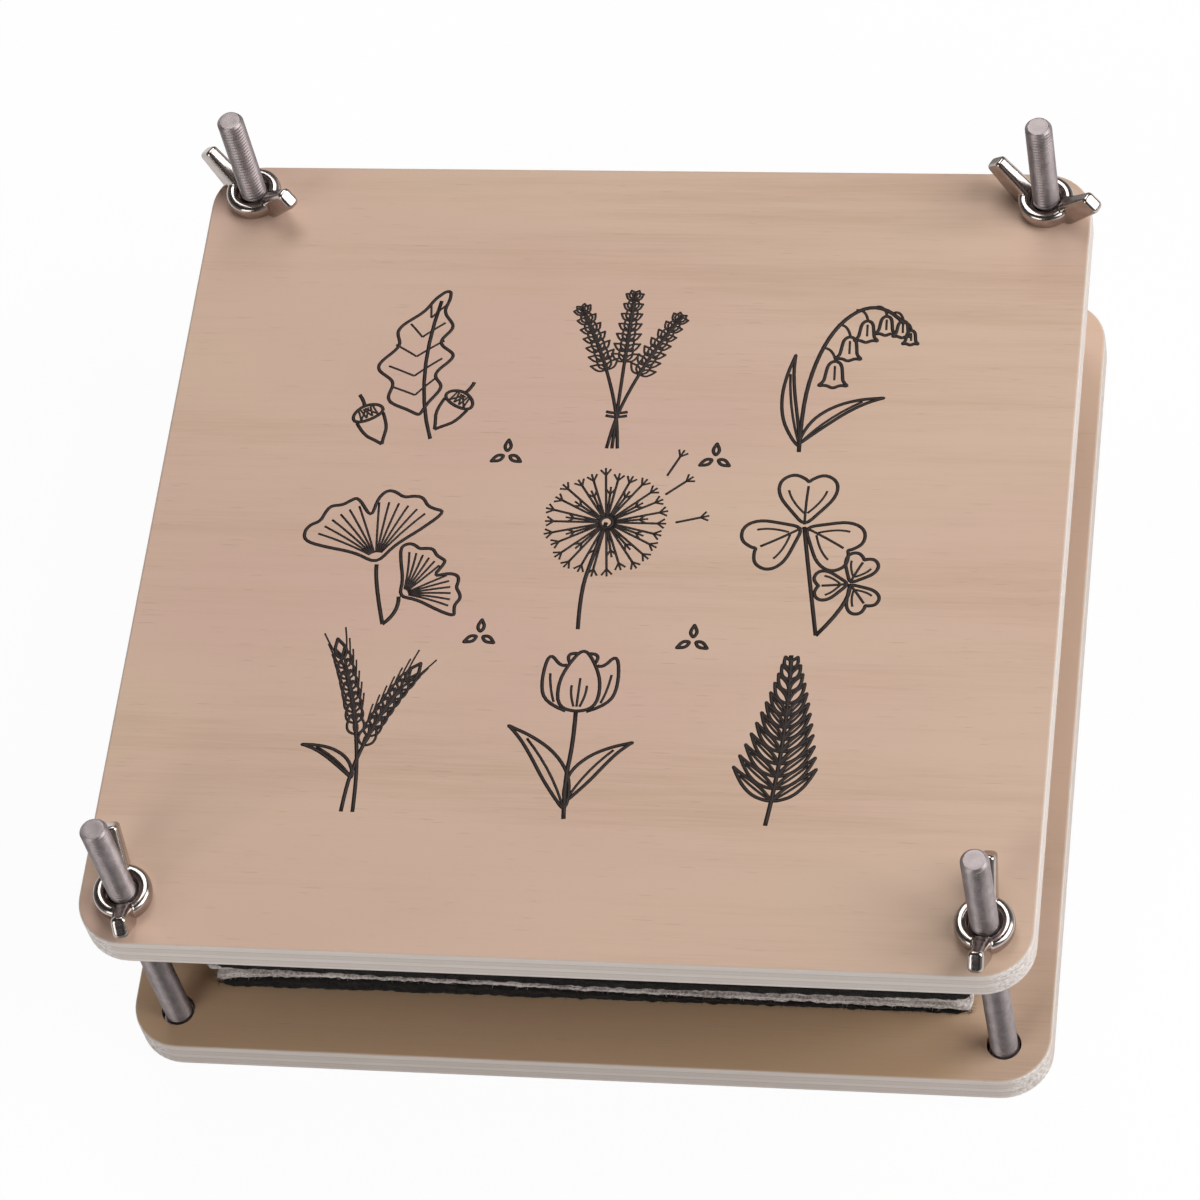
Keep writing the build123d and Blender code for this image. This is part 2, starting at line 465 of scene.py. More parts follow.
def felt(looks):
    """Matted dark fibres with paler flecks."""
    cloth = Finish("pad_felt", {"Sheen Weight": 0.1, "Specular IOR Level": 0.15})
    mat = cloth.cloud((1500, 1500, 2600), (0, 0, 0), 4, 0.7)
    tuft = cloth.cloud((260, 260, 420), (2, 5, 1), 3)
    fleck = (mat * 0.65 + tuft * 0.35).ramp(0.5, 0.72)
    cloth.feed(
        Base_Color=cloth.blend(fleck, looks.felt, looks.felt_fleck), Roughness=mat * 0.1 + 0.88
    )
    cloth.bump(mat + tuft, 0.35 * MM)
    return cloth.material


def blotting(looks):
    """Soft pale paper with grey fibres."""
    paper = Finish("blotting_paper", {"Specular IOR Level": 0.2})
    fibres = paper.cloud((1500, 1500, 3000), (0, 0, 0), 4, 0.7)
    stain = paper.cloud((70, 70, 500), (1, 4, 2), 3)
    shade = (fibres * 0.6 + stain * 0.4).ramp(0.42, 0.62)
    paper.feed(
        Base_Color=paper.blend(shade, looks.paper, looks.paper_shade),
        Roughness=fibres * 0.1 + 0.85,
    )
    paper.bump(fibres, 0.2 * MM)
    return paper.material


def ink(looks):
    """Ink that thins a little over the grain."""
    drawn = Finish("print_ink", {"Specular IOR Level": 0.3})
    thin = drawn.cloud((140, 1500, 1500), (0, 0, 0), 3).ramp(0.55, 0.8)
    pale = tuple(min(1.0, 2.6 * c) for c in looks.ink)
    drawn.feed(Base_Color=drawn.blend(thin * 0.6, looks.ink, pale), Roughness=thin * 0.2 + 0.5)
    return drawn.material


def clear_selection():
    """Object mode with nothing selected."""
    if bpy.context.object and bpy.context.object.mode != "OBJECT":
        bpy.ops.object.mode_set(mode="OBJECT")
    bpy.ops.object.select_all(action="DESELECT")


def pick(obj):
    """Makes one object the selected and active one."""
    clear_selection()
    obj.select_set(True)
    bpy.context.view_layer.objects.active = obj


def edit_all(obj):
    """Edit mode with the whole mesh of one object selected."""
    pick(obj)
    bpy.ops.object.mode_set(mode="EDIT")
    bpy.ops.mesh.select_all(action="SELECT")


def end_edit():
    """Turns all faces outwards and leaves edit mode."""
    bpy.ops.mesh.select_all(action="SELECT")
    bpy.ops.mesh.normals_make_consistent(inside=False)
    bpy.ops.object.mode_set(mode="OBJECT")


def middle_of(node):
    """The middle of a solid, seen from above."""
    low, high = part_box(node)
    return ((low + high) / 2).xy


def apply_all(obj):
    """Applies the object's modifiers in order."""
    pick(obj)
    for modifier in list(obj.modifiers):
        bpy.ops.object.modifier_apply(modifier=modifier.name)


def settle(obj, name, body, material, slot, *nodes):
    """Names a finished piece, gives it its finish and body, and hides the solids it stands for."""
    pick(obj)
    bpy.ops.object.transform_apply(location=True, rotation=True, scale=True)
    obj.name = name
    obj.data.name = name
    obj.data.materials.clear()
    obj.data.materials.append(material)
    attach(obj, body)
    if nodes:
        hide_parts(*nodes)


def copy_of_node(node):
    """A copy of a solid's mesh as a new object, with its triangles joined."""
    source = frame["nodes"][node]
    copy = bpy.data.objects.new(node + "_copy", source.data.copy())
    bpy.context.scene.collection.objects.link(copy)
    edit_all(copy)
    bpy.ops.mesh.remove_doubles(threshold=0.002 * MM)
    bpy.ops.object.mode_set(mode="OBJECT")
    return copy


def cap(obj, height):
    """Closes the open end at a height with one face, which stays selected."""
    bpy.ops.mesh.select_mode(type="EDGE")
    bpy.ops.mesh.select_all(action="DESELECT")
    mesh = bmesh.from_edit_mesh(obj.data)
    for edge in mesh.edges:
        level = max(abs(vertex.co.z - height) for vertex in edge.verts)
        edge.select_set(edge.is_boundary and level < 0.001 * MM)
    bmesh.update_edit_mesh(obj.data)
    bpy.ops.mesh.edge_face_add()


def numbered(stem):
    """The nodes of one kind, counted from the base upwards."""
    number = 1
    while f"{stem}_{number}" in frame["nodes"]:
        yield number, f"{stem}_{number}"
        number += 1


def rounded_square(points, half, corner):
    """Points evenly spaced round a square with rounded corners, counter-clockwise."""
    straight = 2 * (half - corner)
    bend = corner * pi / 2
    quarter = straight + bend
    outline = []
    for i in range(points):
        run = i / points * 4 * quarter
        side, along = divmod(run, quarter)
        if along < straight:
            spot = Vector((half, along - straight / 2))
        else:
            turn = (along - straight) / corner
            spot = Vector((half - corner + corner * cos(turn), straight / 2 + corner * sin(turn)))
        outline.append(Matrix.Rotation(side * pi / 2, 2) @ spot)
    return outline


def settled_height(x, y, height):
    """Where a point of the even stack lies in the settled one. The layers keep their order:
    the lowest pad thins from left to right and droops at its left end, the two sheets on it
    fill the room up to the next pad, and the space between them stays open."""
    across = x / SETTLE_REACH
    droop = max(0.0, -across - DROOP_START) / (1 - DROOP_START)
    pad_top = PAD_MIDDLE - PAD_TAPER * across - PAD_DROOP * droop * droop
    sheets_top = SHEETS_TOP + SHEETS_RISE * max(0.0, -across)
    space = max(SPACE_LEAST, SPACE_SHARE * (sheets_top - pad_top))
    sheet = (sheets_top - pad_top - space) / 2
    full = EVEN_LEVELS[-1]
    levels = (0, pad_top, pad_top + sheet, sheets_top - sheet, sheets_top, full)
    ease = min(1.0, height / WAVE_EASE, (full - height) / WAVE_EASE)
    wave = noise.noise(Vector((x * 26, y * 26, height * 45)))
    return interp(height, EVEN_LEVELS, levels) + WAVE * max(0.0, ease) * wave


class Layer:
    """A pad or sheet that stands for a solid of the stack, turned and shifted a little."""

    def __init__(self, node, rim, corner, offset, turn):
        low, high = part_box(node)
        self.node = node
        self.half = high.x
        self.bottom = low.z - BASE_TOP
        self.thick = high.z - low.z
        self.offset = offset
        self.spin = Matrix.Rotation(turn, 2)
        self.piece = self.cut(rim, corner)

    def settled(self, x, y, height):
        """Where a point of the flat layer, at a height in it, comes to lie."""
        x, y = self.spin @ Vector((x, y)) + self.offset
        return Vector((x, y, BASE_TOP + settled_height(x, y, self.bottom + height)))

    def profile(self, rim):
        """Inset and height of each ring, from the middle of the underside over the rim to the
        middle of the top."""
        flat = (self.half - 1 * MM, 45 * MM, 18 * MM, 4 * MM)
        under = [(inset, 0) for inset in flat]
        edge = [(inset * MM, share * self.thick) for inset, share in rim]
        over = [(inset, self.thick) for inset in reversed(flat)]
        return under + edge + over

    def cut(self, rim, corner):
        """The flat layer as a closed mesh, drawn out ring by ring."""
        clear_selection()
        bpy.ops.mesh.primitive_circle_add(
            vertices=RIM_POINTS, radius=self.half, fill_type="NOTHING"
        )
        piece = bpy.context.object
        outline = rounded_square(RIM_POINTS, self.half, corner)
        for vertex, spot in zip(piece.data.vertices, outline):
            vertex.co = (*spot, 0)
        edit_all(piece)
        size, level = 1.0, 0.0
        for step, (inset, height) in enumerate(self.profile(rim)):
            if step:
                bpy.ops.mesh.extrude_edges_move()
            share = (self.half - inset) / self.half
            bpy.ops.transform.resize(value=(share / size, share / size, 1))
            bpy.ops.transform.translate(value=(0, 0, height - level))
            size, level = share, height
            if step == 0:
                bpy.ops.mesh.edge_face_add()
                bpy.ops.mesh.select_all(action="DESELECT")
                bpy.ops.mesh.select_mode(type="EDGE")
                bpy.ops.mesh.select_all(action="SELECT")
        bpy.ops.mesh.edge_face_add()
        end_edit()
        return piece

    def roughen(self, amount, seed):
        """Lets the layer's edge wander, and settles the layer in the stack."""
        for vertex in self.piece.data.vertices:
            x, y, z = vertex.co
            reach = max(abs(x), abs(y))
            weight = max(0.0, 1 - (self.half - reach) / (4 * MM))
            if weight:
                coarse = noise.noise(Vector((x * 120, y * 120, seed)))
                fine = noise.noise(Vector((x * 700, y * 700, seed + z * 700)))
                push = 1 + weight * amount * (0.45 * coarse + fine - 0.45) / reach
                x, y = x * push, y * push
            vertex.co = self.settled(x, y, z)

    def fray(self, count, length, seed):
        """Adds loose fibres that stand out from the edge, as bent three-sided strands."""
        rng = random.Random(seed)
        mesh = bmesh.new()
        mesh.from_mesh(self.piece.data)
        for _ in range(count):
            side = rng.randrange(4) * pi / 2
            run = rng.uniform(-self.half, self.half)
            out = Matrix.Rotation(side + rng.gauss(0, 0.5), 2) @ Vector((1, 0))
            spot = Matrix.Rotation(side, 2) @ Vector((self.half - 0.9 * MM, run))
            reach = length * rng.uniform(0.55, 1.3)
            rise = self.thick * rng.uniform(0.2, 0.8)
            lift = self.thick * rng.uniform(0.2, 0.8) - rise
            thick = rng.uniform(0.04, 0.08) * MM
            rings = []
            for step in (0.0, 0.5, 1.0):
                middle = self.settled(*(spot + out * reach * step), rise + lift * step * step)
                girth = thick * (1 - 0.75 * step)
                ring = []
                for corner in range(3):
                    angle = corner * tau / 3
                    around = Vector((-out.y * cos(angle), out.x * cos(angle), sin(angle)))
                    ring.append(mesh.verts.new(middle + around * girth))
                rings.append(ring)
            for low, high in zip(rings, rings[1:]):
                for corner in range(3):
                    after = (corner + 1) % 3
                    mesh.faces.new((low[corner], low[after], high[after], high[corner]))
            mesh.faces.new(reversed(rings[0]))
            mesh.faces.new(rings[-1])
        mesh.to_mesh(self.piece.data)
        mesh.free()

    def finish(self, name, smooth, material, slot):
        """Smooths the layer up to an angle in degrees, and gives it its name, finish and body."""
        pick(self.piece)
        bpy.ops.object.shade_smooth_by_angle(angle=radians(smooth))
        body = frame["nodes"][self.node]["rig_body"]
        settle(self.piece, name, body, material, slot, self.node)


def bolt_rows(looks, tip):
    """Rows up a bolt from the middle of its domed head to its tip. Each gives the height, the
    radius, how square the row is and how deep the thread is cut there."""
    rows = []
    for step in range(9):
        share = step / 8
        radius = POLE_RADIUS + (HEAD_RADIUS - POLE_RADIUS) * share
        rows.append((HEAD_SINK + DOME_HEIGHT * share * share, radius, 0, 0))
    rows += [
        (HEAD_TOP, HEAD_RADIUS, 0, 0),
        (HEAD_TOP, HEAD_ROW, 0, 0),
        (HEAD_TOP, NECK_HALF, 1, 0),
        (NECK_TOP, NECK_HALF, 1, 0),
        (NECK_TOP, SHANK_RADIUS, 0, 0),
    ]
    start = height = NECK_TOP + 0.1 * MM
    while height < tip - 0.75 * MM:
        rows.append((height, SHANK_RADIUS, 0, min(1.0, (height - start) / looks.pitch)))
        height += looks.pitch / 7
    for drop, radius, cut in (
        (0.7, 2.97, 1),
        (0.45, 2.78, 0.6),
        (0.12, 2.42, 0.1),
        (0.02, 2.3, 0),
        (0, 2.15, 0),
        (0.05, 1.2, 0),
    ):
        rows.append((tip - drop * MM, radius * MM, 0, cut))
    rows.append((tip - 0.05 * MM, POLE_RADIUS, 0, 0))
    return rows


def roll_bolt(looks, tip):
    """A bolt on the origin, rolled up from a grid, with a rounded right-hand thread."""
    rows = bolt_rows(looks, tip)
    clear_selection()
    bpy.ops.mesh.primitive_grid_add(x_subdivisions=44, y_subdivisions=len(rows) - 1, size=2)
    bolt = bpy.context.object
    for vertex in bolt.data.vertices:
        turn = (vertex.co.x + 1) * pi
        height, radius, square, cut = rows[round((vertex.co.y + 1) / 2 * (len(rows) - 1))]
        if square:
            radius *= (abs(cos(turn)) ** 12 + abs(sin(turn)) ** 12) ** (-1 / 12)
        groove = 0.5 - 0.5 * cos(height / looks.pitch * tau - turn)
        radius -= looks.depth * cut * groove
        vertex.co = (radius * cos(turn), radius * sin(turn), height)
    edit_all(bolt)
    bpy.ops.mesh.remove_doubles(threshold=0.001 * MM)
    cap(bolt, rows[0][0])
    cap(bolt, rows[-1][0])
    end_edit()
    bpy.ops.object.shade_smooth_by_angle(angle=radians(38))
    return bolt


class PRESS_OT_boards(Operator):
    """Gives both boards their plywood"""

    bl_idname = "press.boards"
    bl_label = "Finish the boards"

    def execute(self, context):
        looks = context.scene.press_looks.boards
        for node in ("base_board", "top_board"):
            board = frame["nodes"][node]
            ply = plywood(node + "_ply", looks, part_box(node)[0].z, node == "base_board")
            board.data.materials.clear()
            board.data.materials.append(ply)
        return {"FINISHED"}


class PRESS_OT_bolts(Operator):
    """Cuts a rolled thread on the bolts' shanks and plates the bolts with zinc"""

    bl_idname = "press.bolts"
    bl_label = "Thread the bolts"

    def execute(self, context):
        looks = context.scene.press_looks.metal
        finish = zinc(looks)
        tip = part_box("bolt_front_left")[1].z
        shank = roll_bolt(looks, tip)
        for corner in CORNERS:
            bolt = shank.copy()
            bolt.data = shank.data.copy()
            context.scene.collection.objects.link(bolt)
            node = "bolt_" + corner
            bolt.location = (*middle_of(node), 0)
            settle(bolt, "threaded_" + node, "base", finish, "bolt_steel", node)
        bpy.data.objects.remove(shank)
        return {"FINISHED"}


class PRESS_OT_wing_nuts(Operator):
    """Rounds the seams of the wing nuts as on a casting and plates them with nickel"""

    bl_idname = "press.wing_nuts"
    bl_label = "Cast the wing nuts"

    def execute(self, context):
        looks = context.scene.press_looks.metal
        finish = nickel(looks)
        for corner in CORNERS:
            node = "wing_nut_" + corner
            nut = copy_of_node(node)
            remesh = nut.modifiers.new("cast", "REMESH")
            remesh.mode = "VOXEL"
            remesh.voxel_size = looks.soften
            soft = nut.modifiers.new("soften", "SMOOTH")
            soft.factor = 0.5
            soft.iterations = 7
            apply_all(nut)
            bpy.ops.object.shade_smooth()
            settle(nut, "cast_" + node, "nut_" + corner, finish, "nickel_plate", node)
        return {"FINISHED"}


class PRESS_OT_pads(Operator):
    """Builds the felt pads with soft, fraying edges"""

    bl_idname = "press.pads"
    bl_label = "Lay the felt pads"

    def execute(self, context):
        looks = context.scene.press_looks.stack
        finish = felt(looks)
        rng = random.Random(5)
        for number, node in numbered("drying_pad"):
            offset = Vector((rng.uniform(-0.7, 0.7), rng.uniform(-1.6, -1.1))) * MM
            turn = radians(rng.uniform(-0.35, 0.35))
            pad = Layer(node, PAD_RIM, 3 * MM, offset, turn)
            pad.roughen(looks.rough_edge, number * 3.7)
            pad.fray(looks.fibre_count, looks.fibre, number)
            pad.finish(f"felt_pad_{number}", 50, finish, "dark_felt")
        return {"FINISHED"}


class PRESS_OT_sheets(Operator):
    """Builds the blotting sheets with torn edges"""

    bl_idname = "press.sheets"
    bl_label = "Lay the blotting sheets"

    def execute(self, context):
        looks = context.scene.press_looks.stack
        finish = blotting(looks)
        rng = random.Random(13462)
        for number, _ in numbered("lower_blotting_sheet"):
            for kind in ("lower", "upper"):
                offset = Vector((rng.uniform(-1.6, 0.7), rng.uniform(-1.1, -0.5))) * MM
                turn = radians(rng.uniform(-0.3, 0.4))
                seed = 50 + rng.random() * 40
                node = f"{kind}_blotting_sheet_{number}"
                sheet = Layer(node, SHEET_RIM, 1.5 * MM, offset, turn)
                sheet.roughen(looks.rough_edge, seed)
                sheet.fray(looks.paper_fibre_count, looks.paper_fibre, seed)
                sheet.finish(f"{kind}_sheet_{number}", 40, finish, "blotting_paper")
        return {"FINISHED"}


def toward(angle):
    """A step of length 1 at an angle in degrees, counter-clockwise from the right."""
    turn = radians(angle)
    return Vector((cos(turn), sin(turn)))


def beside(step):
    """A step turned a quarter to the left."""
    return Vector((-step.y, step.x))


def angle_of(start, end):
    """Direction from one point to another, in degrees."""
    run = end - start
    return degrees(atan2(run.y, run.x))


class Drawing:
    """Lines of one plant, as points in millimetres about its own middle."""

    def __init__(self):
        self.lines = []

    def line(self, *points, weight=1.0):
        self.lines.append(([Vector(p) for p in points], False, weight))

    def loop(self, *points, weight=1.0):
        self.lines.append(([Vector(p) for p in points], True, weight))

    def pair(self, *points, weight=1.0):
        """A line and its mirror image about the plant's upright axis."""
        for side in (1, -1):
            self.line(*[(side * x, y) for x, y in points], weight=weight)

    def ring(self, middle, radius):
        self.loop(*[Vector(middle) + toward(45 * i) * radius for i in range(8)])

    def blade(self, base, angle, reach, width, bend=0.0, vein=True, weight=1.0):
        """A pointed leaf from its base at an angle in degrees, with a line along its middle."""

        def spot(along, across):
            ahead = toward(angle + bend * along)
            return Vector(base) + ahead * reach * along + beside(ahead) * across

        swell = [(0.0, 0.0), (0.12, 0.5), (0.35, 1.0), (0.6, 0.86), (0.82, 0.42), (0.99, 0.04)]
        left = [spot(a, w * width / 2) for a, w in swell]
        right = [spot(a, -w * width / 2) for a, w in reversed(swell[1:])]
        self.loop(*left, spot(1.03, 0), *right, weight=weight)
        if vein:
            self.line(spot(0, 0), spot(0.4, 0), spot(0.82, 0), weight=0.75 * weight)


def fern():
    """A frond with paired leaflets that shorten towards its tip."""
    plant = Drawing()
    shares = [i / 14 for i in range(15)]
    stem = [Vector((-3.2 + 5.5 * t - 4 * t * t, -21 + 41 * t)) for t in shares]
    plant.line(*stem, weight=1.2)
    for spot, t in zip(stem[2:14], shares[2:14]):
        reach = 11.5 * (1 - t) ** 0.75 + 1.2
        for side in (-1, 1):
            angle = 90 - side * (66 - 26 * t)
            plant.blade(spot, angle, reach, 2.7 - 1.2 * t, side * 14, t < 0.7)
    return plant


def tulip():
    """A closed cup of petals on a stem with two sheathing leaves."""
    plant = Drawing()
    plant.line((0.5, -21), (-0.4, -12), (0.4, -3), (0, 5), weight=1.2)
    plant.blade((0.3, -19), 99, 24, 5.6, 26)
    plant.blade((0.3, -17), 80, 19, 5.0, -30)
    side = [(4.2, 6), (4.6, 12), (2.6, 17)]
    plant.loop((0, 4.6), *side, (0, 20.5), *[(-x, y) for x, y in reversed(side)])
    plant.pair((2.2, 4.9), (7, 6.6), (8.4, 12), (7.4, 19.5), (4.4, 15.4), (3.2, 16.2))
    plant.pair((2.7, 16.6), (4.2, 19.4), (0.9, 19.0))
    for x in (-1.8, 0, 1.8):
        plant.line((0.35 * x, 6), (x, 9), (0.9 * x, 13 - abs(x)), weight=0.7)
    plant.pair((5.0, 7), (6.2, 10), (6.6, 14), weight=0.7)
    return plant


def wheat():
    """Two ears of grain with long awns."""
    plant = Drawing()
    for lean, foot, tall in ((-7, 1.5, 36), (9, -1.0, 31)):

        def spot(t, lean=lean, foot=foot, tall=tall):
            return Vector((foot + lean * t * t, -21 + tall * t))

        plant.line(*[spot(i / 6) for i in range(7)], weight=1.1)
        for i in range(7):
            t = 0.52 + 0.075 * i
            base = spot(t)
            tilt = angle_of(base, spot(t + 0.05))
            for side in (-1, 1):
                plant.blade(base, tilt - side * 30, 4.9, 2.4, side * 20, False, 0.75)
                tip = base + toward(tilt - side * 16) * 4.6
                far = tip + toward(tilt - side * 11) * 5.6
                plant.line(tip, (tip + far) / 2 + Vector((0.2 * side, 0)), far, weight=0.5)
        plant.blade(spot(1.03), angle_of(spot(0.95), spot(1)), 5.2, 2.5, 0, False)
    plant.blade((0.2, -13), 112, 14, 2.8, 34)
    return plant


def ginkgo():
    """Two fan leaves on long stalks, with ribs that spread from the stalk."""
    plant = Drawing()
    for base, angle, size in (((-2, -6), 104, 19.0), ((4, -14), 38, 13.5)):
        base = Vector(base)

        def spot(turn, reach, base=base, angle=angle, size=size):
            return base + toward(angle + turn) * reach * size

        rim = []
        for i in range(19):
            turn = -58 + i * 116 / 18
            notch = 0.34 * max(0.0, 1 - abs(turn) / 7.5)
            rim.append(spot(turn, 0.97 + 0.045 * cos(i * 1.9) - notch))
        plant.loop(base, spot(-46, 0.3), spot(-57, 0.66), *rim, spot(57, 0.66), spot(46, 0.3))
        for i in range(13):
            turn = -48 + i * 8
            if abs(turn) > 3:
                rib = (spot(turn * 0.5, 0.16), spot(turn * 0.85, 0.5), spot(turn, 0.84))
                plant.line(*rib, weight=0.65)
        plant.line(base, base + Vector((2 - 0.1 * size, -4)), Vector((1.4, -21)), weight=1.15)
    return plant


def dandelion():
    """A round seed head, with three seeds blown off."""
    plant = Drawing()
    heart = Vector((1, 6))
    plant.line((-2, -21), (-2.6, -12), (-1, -3), heart, weight=1.15)
    plant.ring(heart, 1.5)
    rng = random.Random(3)
    for i in range(26):
        seed_line(plant, heart, i * 360 / 26, 1.7, 11.6 + rng.uniform(-0.8, 0.8))
    for i in range(13):
        seed_line(plant, heart, i * 360 / 13 + 7, 1.7, 7.2)
    for spot, angle in (((15, 15), 40), ((18.5, 7), 15), ((14, 20.5), 65)):
        seed_line(plant, Vector(spot), angle, -2.5, 3)
    return plant


def seed_line(plant, heart, angle, start, end):
    """A seed's stalk with its tuft of three hairs."""
    way = toward(angle)
    tip = heart + way * end
    plant.line(heart + way * start, heart + way * (start + end) / 2, tip, weight=0.7)
    for spread in (-38, 0, 38):
        plant.line(tip, tip + toward(angle + spread) * 1.9, weight=0.6)


def bluebell():
    """An arching stem hung with flared bells, and two strap leaves."""
    plant = Drawing()
    stem = [(-5, -21), (-5.4, -10), (-3.8, 2), (0, 12), (6, 17.6), (12, 16.6), (15, 13)]
    plant.line(*stem, weight=1.2)
    hangs = [(-2.6, 6.2), (0.4, 12.4), (4.2, 16.4), (8.6, 17.4), (12.6, 15.9), (14.9, 13.1)]
    for i, (x, y) in enumerate(hangs):
        size = 1.0 - 0.09 * i
        drop = Vector((x + 3.4 * size, y - 3.2 * size))
        plant.line((x, y), (x + 2.4 * size, y + 0.5), drop, weight=0.8)
        shape = [(0, 0), (1.5, -0.9), (1.9, -4), (2.1, -5.6), (3.5, -6.8), (1.6, -6.4), (0, -7.4)]
        right = [drop + Vector(p) * size for p in shape]
        left = [drop + Vector((-p[0], p[1])) * size for p in reversed(shape[1:-1])]
        plant.loop(*right, *left)
        plant.line(drop + Vector((0, -1.4)) * size, drop + Vector((0.2, -5.2)) * size, weight=0.65)
    plant.blade((-4.8, -20), 118, 24, 3.4, -20)
    plant.blade((-5.2, -19), 66, 21, 3.4, -30)
    return plant


def lavender():
    """Three spikes of small buds in whorls, tied low down."""
    plant = Drawing()
    for foot, head, tall in ((1.2, -11, 37), (0, 0.5, 41), (-1.2, 11.5, 35)):

        def spot(t, foot=foot, head=head, tall=tall):
            return Vector((foot + (head - foot) * t**1.6, -21 + tall * t))

        plant.line(*[spot(i / 6) for i in range(7)], weight=1.0)
        for i in range(7):
            t = 0.56 + 0.068 * i
            tilt = angle_of(spot(t), spot(t + 0.03))
            for side in (-58, -22, 22, 58):
                plant.blade(spot(t), tilt + side, 3.6 - 0.22 * i, 1.8, 0, False, 0.65)
    for height in (-12.4, -11.4):
        plant.line((-2.4, height), (0, height - 0.7), (2.4, height), weight=0.9)
    return plant


def trefoil():
    """Three heart-shaped leaflets on one stalk, and a smaller leaf beside it."""
    plant = Drawing()
    for heart, size, lean in ((Vector((-2, 6)), 11.5, 0), (Vector((9, -8)), 6.6, -24)):
        for third in (90, 210, 330):
            ahead = toward(third + lean)

            def spot(along, across, ahead=ahead, heart=heart, size=size):
                return heart + (ahead * along + beside(ahead) * across) * size

            side = [(0.3, 0.24), (0.66, 0.54), (1.0, 0.56), (1.17, 0.3), (1.06, 0.06)]
            plant.loop(
                spot(0.02, 0),
                *[spot(a, w) for a, w in side],
                spot(0.98, 0),
                *[spot(a, -w) for a, w in reversed(side)],
            )
            plant.line(spot(0.05, 0), spot(0.5, 0.02), spot(0.9, 0), weight=0.75)
            for mark in (-0.3, 0.3):
                rib = (spot(0.3, 0.1 * mark), spot(0.56, mark), spot(0.8, 1.2 * mark))
                plant.line(*rib, weight=0.65)
        plant.line(heart, heart + Vector((1.2, -0.6 * size)), Vector((3, -21)), weight=1.15)
    return plant


def oak():
    """A lobed leaf and two acorns."""
    plant = Drawing()

    def spot(along, across):
        ahead = toward(112 - 26 * along)
        return Vector((2, -13)) + ahead * 33 * along + beside(ahead) * across

    rim = []
    for i in range(33):
        along = i / 32
        swell = 7.8 * sin(pi * along**0.8) + 0.5
        rim.append((along, swell * (0.82 + 0.2 * cos(along * 3.6 * tau + 2.8))))
    plant.loop(*[spot(a, w) for a, w in rim], *[spot(a, -w) for a, w in reversed(rim)])
    plant.line(spot(-0.22, 0), spot(0.3, 0.2), spot(0.92, 0), weight=1.1)
    for i in range(5):
        along = 0.16 + 0.155 * i
        for side in (-1, 1):
            reach = side * 6.0 * sin(pi * (along + 0.1) ** 0.8)
            rib = (spot(along, 0), spot(along + 0.06, 0.5 * reach), spot(along + 0.11, reach))
            plant.line(*rib, weight=0.65)
    draw_acorn(plant, (10, -10), -30)
    draw_acorn(plant, (-9, -14), 28)
    return plant


def draw_acorn(plant, middle, tilt):
    """An acorn in its scaly cup, hanging from a short stalk."""
    turn = Matrix.Rotation(radians(tilt), 2)

    def spot(x, y):
        return Vector(middle) + turn @ Vector((x, y))

    cup = ((-3.6, 0), (-3.3, 2.2), (0, 3.6), (3.3, 2.2), (3.6, 0), (0, -0.8))
    plant.loop(*[spot(x, y) for x, y in cup])
    for side in (-1, 1):
        shell = ((3.1, -0.2), (2.9, -3.8), (0.8, -6.6), (0, -8))
        plant.line(*[spot(side * x, y) for x, y in shell])
    plant.line(spot(0, 3.4), spot(0.4, 5), spot(0, 6.6), weight=1.1)
    for x in (-2, -0.7, 0.7, 2):
        for lean in (0.5, -0.5):
            scale = (spot(x, 0), spot(0.6 * x + lean, 1.5), spot(0.4 * x + 1.8 * lean, 2.6))
            plant.line(*scale, weight=0.6)


def seeds():
    """Three small seeds in a tuft, to fill the spaces between the plants."""
    plant = Drawing()
    for angle in (90, 210, 330):
        plant.blade(toward(angle) * 0.8, angle, 2.9, 1.4, 0, False)
    return plant


class PRESS_OT_print_work(Operator):
    """Draws rows of plants in line on the top board"""

    bl_idname = "press.print_work"
    bl_label = "Print the top board"

    def execute(self, context):
        looks = context.scene.press_looks.print_work
        middle = middle_of("top_board")
        rows = ((wheat, tulip, fern), (ginkgo, dandelion, trefoil), (oak, lavender, bluebell))
        clear_selection()
        bpy.ops.curve.primitive_nurbs_path_add()
        drawing = context.object
        curve = drawing.data
        curve.splines.clear()
        curve.dimensions = "3D"
        curve.bevel_depth = looks.line / 2
        curve.bevel_resolution = 0
        curve.use_fill_caps = True
        curve.resolution_u = 4
        for row, plants in enumerate(rows):
            for column, plant in enumerate(plants):
                spot = middle + Vector((column - 1, row - 1)) * looks.spacing
                self.add_plant(curve, plant(), spot)
        for row in range(2):
            for column in range(2):
                spot = middle + Vector((column - 0.5, row - 0.5)) * looks.spacing
                self.add_plant(curve, seeds(), spot)
        pick(drawing)
        bpy.ops.object.convert(target="MESH")
        edit_all(drawing)
        flatten = 2 * looks.relief / looks.line
        bpy.ops.transform.resize(value=(1, 1, flatten), center_override=(0, 0, 0))
        bpy.ops.transform.translate(value=(0, 0, PRINT_LEVEL))
        bpy.ops.mesh.remove_doubles(threshold=0.001 * MM)
        end_edit()
        settle(drawing, "plant_print", "press_plate", ink(looks), "plywood")
        return {"FINISHED"}

    def add_plant(self, curve, plant, spot):
        """Adds a plant's lines to the curve, each as a smooth spline."""
        for points, closed, weight in plant.lines:
            spline = curve.splines.new("NURBS")
            spline.points.add(len(points) - 1)
            for knot, point in zip(spline.points, points):
                place = spot + point * MM
                knot.co = (place.x, place.y, 0, 1)
                knot.radius = weight
            spline.use_cyclic_u = closed
            spline.order_u = 3
            spline.use_endpoint_u = not closed


